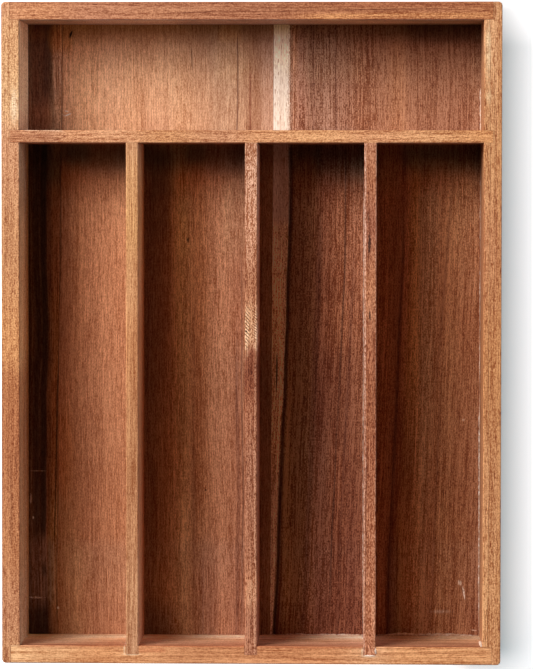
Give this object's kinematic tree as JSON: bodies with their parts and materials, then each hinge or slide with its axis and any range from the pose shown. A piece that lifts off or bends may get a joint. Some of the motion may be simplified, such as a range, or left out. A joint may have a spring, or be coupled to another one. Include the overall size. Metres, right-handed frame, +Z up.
{
  "type": "cutlery drawer organizer",
  "caption": "Shallow wooden cutlery tray for a drawer: a rabbeted frame, one wide compartment across the rear and long side-by-side compartments in front of it.",
  "frame": {"origin": "centre of the tray's underside, on the surface it stands on", "axes": "+X to the right, +Y to the rear, where the wide compartment is, +Z up; the long compartments run along Y"},
  "size_m": [0.249, 0.33, 0.055],
  "materials": {
    "acacia_left_side": "oiled acacia, pale orange tan",
    "acacia_right_side": "oiled acacia, golden tan",
    "acacia_rear_rail": "oiled acacia, reddish brown",
    "acacia_front_rail": "oiled acacia, golden orange",
    "acacia_cross_divider": "oiled acacia, orange tan with short dark pores",
    "acacia_left_divider": "oiled acacia, pale golden tan",
    "acacia_middle_divider": "oiled acacia, pinkish tan",
    "acacia_right_divider": "oiled acacia, reddish pink brown",
    "acacia_floor_left": "oiled acacia heartwood, dark brown",
    "acacia_floor_middle": "oiled acacia, light orange brown",
    "acacia_floor_right": "oiled acacia heartwood with a pale sapwood edge",
    "steel_pin": "bright drawn steel wire"
  },
  "bodies": {
    "root": {"left_side": "acacia_left_side", "right_side": "acacia_right_side", "rear_rail": "acacia_rear_rail", "front_rail": "acacia_front_rail", "cross_divider": "acacia_cross_divider", "left_divider": "acacia_left_divider", "middle_divider": "acacia_middle_divider", "right_divider": "acacia_right_divider", "floor_strip_left": "acacia_floor_left", "floor_board_middle": "acacia_floor_middle", "floor_board_right": "acacia_floor_right", "corner_pins": "steel_pin", "divider_pins": "steel_pin"}
  },
  "joints": []
}
